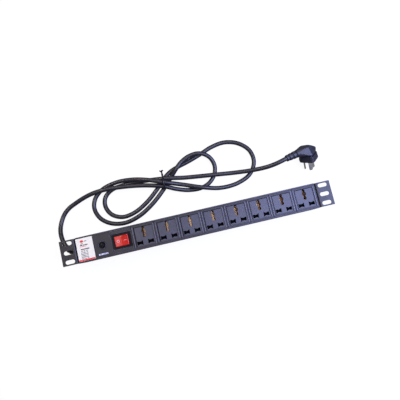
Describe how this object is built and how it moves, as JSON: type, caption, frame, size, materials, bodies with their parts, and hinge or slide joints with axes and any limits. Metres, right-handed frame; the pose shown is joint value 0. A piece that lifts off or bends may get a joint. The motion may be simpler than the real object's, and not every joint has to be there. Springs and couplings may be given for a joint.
{
  "type": "rack power strip",
  "caption": "Rack-mount mains power strip: aluminium channel with folded ears, a row of universal outlets, a lit rocker switch, an overload reset button, and a coiled lead with an angled plug.",
  "frame": {"origin": "middle of the channel's back, on the surface the strip lies on", "axes": "+X along the strip from the lead's end, +Y across it to the earth-pin side of the outlets, +Z out of the outlet faces"},
  "size_m": [0.4923, 0.1647, 0.0459],
  "materials": {
    "anodised_aluminium": "dark grey anodised, satin",
    "painted_steel": "dark grey powder coat",
    "black_plate": "black powder coat",
    "zinc_screw": "zinc plated",
    "abs_moulding": "fine-textured moulding",
    "black_plastic": "smooth moulding",
    "rocker_red": "translucent red, lit from inside",
    "label_paper": "coated label",
    "contact_brass": "pressed strip",
    "tinned_brass": "tin plated",
    "tray_plastic": "moulding",
    "insulating_card": "pressed fibre",
    "brown_wire": "extruded insulation",
    "blue_wire": "extruded insulation",
    "green_wire": "extruded insulation, green and yellow",
    "cord_pvc": "soft sheath, satin",
    "plug_pvc": "moulded, satin",
    "tie_pvc": "plastic-covered wire"
  },
  "bodies": {
    "chassis": {"housing_extrusion": "anodised_aluminium", "left_rack_bracket": "painted_steel", "right_rack_bracket": "painted_steel", "left_end_plate": "black_plate", "right_end_plate": "black_plate", "left_end_screw_1": "zinc_screw", "left_end_screw_2": "zinc_screw", "right_end_screw_1": "zinc_screw", "right_end_screw_2": "zinc_screw", "blank_cover": "abs_moulding", "rating_label": "label_paper", "protector_cover": "abs_moulding", "protector_body": "black_plastic", "reset_ring": "black_plastic", "switch_frame": "abs_moulding", "switch_housing": "black_plastic", "switch_terminal_1": "tinned_brass", "switch_terminal_2": "tinned_brass", "switch_terminal_3": "tinned_brass", "switch_terminal_4": "tinned_brass", "outlet_face_1": "abs_moulding", "outlet_face_2": "abs_moulding", "outlet_face_3": "abs_moulding", "outlet_face_4": "abs_moulding", "outlet_face_5": "abs_moulding", "outlet_face_6": "abs_moulding", "outlet_face_7": "abs_moulding", "outlet_face_8": "abs_moulding", "line_busbar": "contact_brass", "neutral_busbar": "contact_brass", "earth_busbar": "contact_brass", "contact_tray": "tray_plastic", "base_insulator": "insulating_card", "earth_wire": "green_wire", "neutral_wire": "blue_wire", "line_wire": "brown_wire", "protector_wire": "brown_wire", "line_link": "brown_wire", "neutral_link": "blue_wire", "cord_boot": "cord_pvc", "power_cord": "cord_pvc", "cord_tie": "tie_pvc", "plug_body": "plug_pvc", "plug_line_pin": "tinned_brass", "plug_neutral_pin": "tinned_brass", "plug_earth_pin": "tinned_brass"},
    "rocker": {"switch_rocker": "rocker_red"},
    "reset": {"reset_button": "black_plastic"},
    "shutter_1": {"outlet_shutter_1": "black_plastic"},
    "shutter_2": {"outlet_shutter_2": "black_plastic"},
    "shutter_3": {"outlet_shutter_3": "black_plastic"},
    "shutter_4": {"outlet_shutter_4": "black_plastic"},
    "shutter_5": {"outlet_shutter_5": "black_plastic"},
    "shutter_6": {"outlet_shutter_6": "black_plastic"},
    "shutter_7": {"outlet_shutter_7": "black_plastic"},
    "shutter_8": {"outlet_shutter_8": "black_plastic"}
  },
  "joints": [
    {"name": "rocker_tilt", "type": "hinge", "parent": "chassis", "child": "rocker", "pos_m": [-0.13475, 0, 0.0382], "axis": [0, 1, 0], "range_deg": [0, 16]},
    {"name": "reset_travel", "type": "slide", "parent": "chassis", "child": "reset", "axis": [0, 0, 1], "range_m": [-0.0015, 0.0035], "stiffness_N_per_m": 300},
    {"name": "shutter_slide_1", "type": "slide", "parent": "chassis", "child": "shutter_1", "axis": [0, 1, 0], "range_m": [0, 0.0085], "stiffness_N_per_m": 60},
    {"name": "shutter_slide_2", "type": "slide", "parent": "chassis", "child": "shutter_2", "axis": [0, 1, 0], "range_m": [0, 0.0085], "stiffness_N_per_m": 60},
    {"name": "shutter_slide_3", "type": "slide", "parent": "chassis", "child": "shutter_3", "axis": [0, 1, 0], "range_m": [0, 0.0085], "stiffness_N_per_m": 60},
    {"name": "shutter_slide_4", "type": "slide", "parent": "chassis", "child": "shutter_4", "axis": [0, 1, 0], "range_m": [0, 0.0085], "stiffness_N_per_m": 60},
    {"name": "shutter_slide_5", "type": "slide", "parent": "chassis", "child": "shutter_5", "axis": [0, 1, 0], "range_m": [0, 0.0085], "stiffness_N_per_m": 60},
    {"name": "shutter_slide_6", "type": "slide", "parent": "chassis", "child": "shutter_6", "axis": [0, 1, 0], "range_m": [0, 0.0085], "stiffness_N_per_m": 60},
    {"name": "shutter_slide_7", "type": "slide", "parent": "chassis", "child": "shutter_7", "axis": [0, 1, 0], "range_m": [0, 0.0085], "stiffness_N_per_m": 60},
    {"name": "shutter_slide_8", "type": "slide", "parent": "chassis", "child": "shutter_8", "axis": [0, 1, 0], "range_m": [0, 0.0085], "stiffness_N_per_m": 60}
  ]
}
